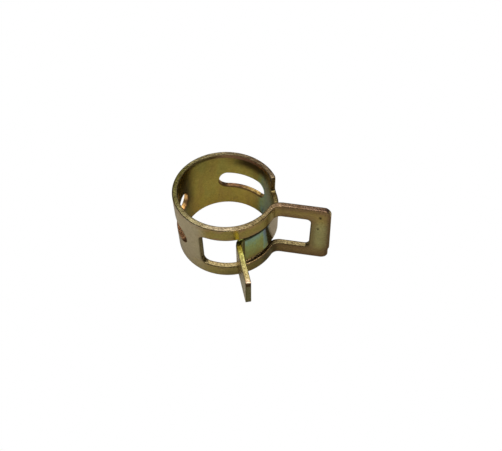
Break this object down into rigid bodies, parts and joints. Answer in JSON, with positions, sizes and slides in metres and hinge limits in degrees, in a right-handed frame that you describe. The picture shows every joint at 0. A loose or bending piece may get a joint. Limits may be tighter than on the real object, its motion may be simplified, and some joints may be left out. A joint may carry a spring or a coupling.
{
  "type": "spring band hose clamp",
  "caption": "Self-tightening spring band clamp for a small hose, rolled from one steel strip; squeezing its two ears together opens the ring.",
  "frame": {"origin": "on the hose axis, at the middle of the band's width", "axes": "+Z along the hose axis, +X from the hose axis to midway between the two ears, window ear on the +Y side and tongue ear on the -Y side"},
  "size_m": [0.0241, 0.018, 0.012],
  "materials": {
    "yellow_zinc_steel": "yellow zinc chromate plating, satin, with faint pink, gold and blue-green iridescence"
  },
  "bodies": {
    "window_ear": {"window_ear": "yellow_zinc_steel"},
    "rail_1": {"upper_rail_1": "yellow_zinc_steel", "lower_rail_1": "yellow_zinc_steel"},
    "rail_2": {"upper_rail_2": "yellow_zinc_steel", "lower_rail_2": "yellow_zinc_steel"},
    "rail_3": {"upper_rail_3": "yellow_zinc_steel", "lower_rail_3": "yellow_zinc_steel"},
    "rail_4": {"upper_rail_4": "yellow_zinc_steel", "lower_rail_4": "yellow_zinc_steel"},
    "rail_5": {"upper_rail_5": "yellow_zinc_steel", "lower_rail_5": "yellow_zinc_steel"},
    "front_web": {"front_web": "yellow_zinc_steel"},
    "front_ligament_1": {"upper_front_ligament_1": "yellow_zinc_steel", "lower_front_ligament_1": "yellow_zinc_steel"},
    "front_ligament_2": {"upper_front_ligament_2": "yellow_zinc_steel", "lower_front_ligament_2": "yellow_zinc_steel"},
    "root_web": {"root_web": "yellow_zinc_steel"},
    "back_web": {"back_web": "yellow_zinc_steel"},
    "back_ligament_1": {"upper_back_ligament_1": "yellow_zinc_steel", "lower_back_ligament_1": "yellow_zinc_steel"},
    "back_ligament_2": {"upper_back_ligament_2": "yellow_zinc_steel", "lower_back_ligament_2": "yellow_zinc_steel"},
    "shoulder": {"shoulder": "yellow_zinc_steel"},
    "tongue_1": {"tongue_1": "yellow_zinc_steel"},
    "tongue_2": {"tongue_2": "yellow_zinc_steel"},
    "tongue_3": {"tongue_3": "yellow_zinc_steel"},
    "tongue_4": {"tongue_4": "yellow_zinc_steel"},
    "tongue_ear": {"tongue_ear": "yellow_zinc_steel"}
  },
  "joints": [
    {"name": "squeeze", "type": "hinge", "parent": "root_web", "child": "front_ligament_2", "pos_m": [-0.00763, -0.00397, 0], "axis": [0, 0, -1], "range_deg": [0, 5.3], "stiffness_Nm_per_rad": 190},
    {"name": "flex_front_ligament_1", "type": "hinge", "parent": "front_ligament_2", "child": "front_ligament_1", "pos_m": [-0.00544, -0.00666, 0], "axis": [0, 0, -1], "range_deg": [0, 4.01]},
    {"name": "flex_front_web", "type": "hinge", "parent": "front_ligament_1", "child": "front_web", "pos_m": [-0.00237, -0.00827, 0], "axis": [0, 0, -1], "range_deg": [0, 3.64]},
    {"name": "flex_rail_5", "type": "hinge", "parent": "front_web", "child": "rail_5", "pos_m": [0.00237, -0.00827, 0], "axis": [0, 0, -1], "range_deg": [0, 2.68]},
    {"name": "flex_rail_4", "type": "hinge", "parent": "rail_5", "child": "rail_4", "pos_m": [0.00476, -0.00716, 0], "axis": [0, 0, -1], "range_deg": [0, 2.35]},
    {"name": "flex_rail_3", "type": "hinge", "parent": "rail_4", "child": "rail_3", "pos_m": [0.0067, -0.00539, 0], "axis": [0, 0, -1], "range_deg": [0, 1.81]},
    {"name": "flex_rail_2", "type": "hinge", "parent": "rail_3", "child": "rail_2", "pos_m": [0.00802, -0.00311, 0], "axis": [0, 0, -1], "range_deg": [0, 1.45]},
    {"name": "flex_rail_1", "type": "hinge", "parent": "rail_2", "child": "rail_1", "pos_m": [0.00858, -0.00054, 0], "axis": [0, 0, -1], "range_deg": [0, 1.29]},
    {"name": "flex_window_ear", "type": "hinge", "parent": "rail_1", "child": "window_ear", "pos_m": [0.00834, 0.00208, 0], "axis": [0, 0, -1], "range_deg": [0, 1.13]},
    {"name": "flex_back_web", "type": "hinge", "parent": "root_web", "child": "back_web", "pos_m": [-0.00848, 0.00142, 0], "axis": [0, 0, 1], "range_deg": [0, 5.29]},
    {"name": "flex_back_ligament_1", "type": "hinge", "parent": "back_web", "child": "back_ligament_1", "pos_m": [-0.00592, 0.00624, 0], "axis": [0, 0, 1], "range_deg": [0, 4.73]},
    {"name": "flex_back_ligament_2", "type": "hinge", "parent": "back_ligament_1", "child": "back_ligament_2", "pos_m": [-0.00326, 0.00796, 0], "axis": [0, 0, 1], "range_deg": [0, 3.23]},
    {"name": "flex_shoulder", "type": "hinge", "parent": "back_ligament_2", "child": "shoulder", "pos_m": [-0.00015, 0.0086, 0], "axis": [0, 0, 1], "range_deg": [0, 3.01]},
    {"name": "flex_tongue_1", "type": "hinge", "parent": "shoulder", "child": "tongue_1", "pos_m": [0.00456, 0.00729, 0], "axis": [0, 0, 1], "range_deg": [0, 2.48]},
    {"name": "flex_tongue_2", "type": "hinge", "parent": "tongue_1", "child": "tongue_2", "pos_m": [0.00682, 0.00524, 0], "axis": [0, 0, 1], "range_deg": [0, 1.87]},
    {"name": "flex_tongue_3", "type": "hinge", "parent": "tongue_2", "child": "tongue_3", "pos_m": [0.00822, 0.00251, 0], "axis": [0, 0, 1], "range_deg": [0, 1.46]},
    {"name": "flex_tongue_4", "type": "hinge", "parent": "tongue_3", "child": "tongue_4", "pos_m": [0.00858, -0.00053, 0], "axis": [0, 0, 1], "range_deg": [0, 1.36]},
    {"name": "flex_tongue_ear", "type": "hinge", "parent": "tongue_4", "child": "tongue_ear", "pos_m": [0.00786, -0.0035, 0], "axis": [0, 0, 1], "range_deg": [0, 1.02]}
  ],
  "couplings": [
    {"joint": "flex_front_ligament_1", "follows": "squeeze", "ratio": 0.7559},
    {"joint": "flex_front_web", "follows": "squeeze", "ratio": 0.686},
    {"joint": "flex_rail_5", "follows": "squeeze", "ratio": 0.5054},
    {"joint": "flex_rail_4", "follows": "squeeze", "ratio": 0.4437},
    {"joint": "flex_rail_3", "follows": "squeeze", "ratio": 0.3421},
    {"joint": "flex_rail_2", "follows": "squeeze", "ratio": 0.2731},
    {"joint": "flex_rail_1", "follows": "squeeze", "ratio": 0.2432},
    {"joint": "flex_window_ear", "follows": "squeeze", "ratio": 0.2123},
    {"joint": "flex_back_web", "follows": "squeeze", "ratio": 0.9973},
    {"joint": "flex_back_ligament_1", "follows": "squeeze", "ratio": 0.8929},
    {"joint": "flex_back_ligament_2", "follows": "squeeze", "ratio": 0.6098},
    {"joint": "flex_shoulder", "follows": "squeeze", "ratio": 0.5681},
    {"joint": "flex_tongue_1", "follows": "squeeze", "ratio": 0.4673},
    {"joint": "flex_tongue_2", "follows": "squeeze", "ratio": 0.3521},
    {"joint": "flex_tongue_3", "follows": "squeeze", "ratio": 0.2759},
    {"joint": "flex_tongue_4", "follows": "squeeze", "ratio": 0.2559},
    {"joint": "flex_tongue_ear", "follows": "squeeze", "ratio": 0.1933}
  ]
}
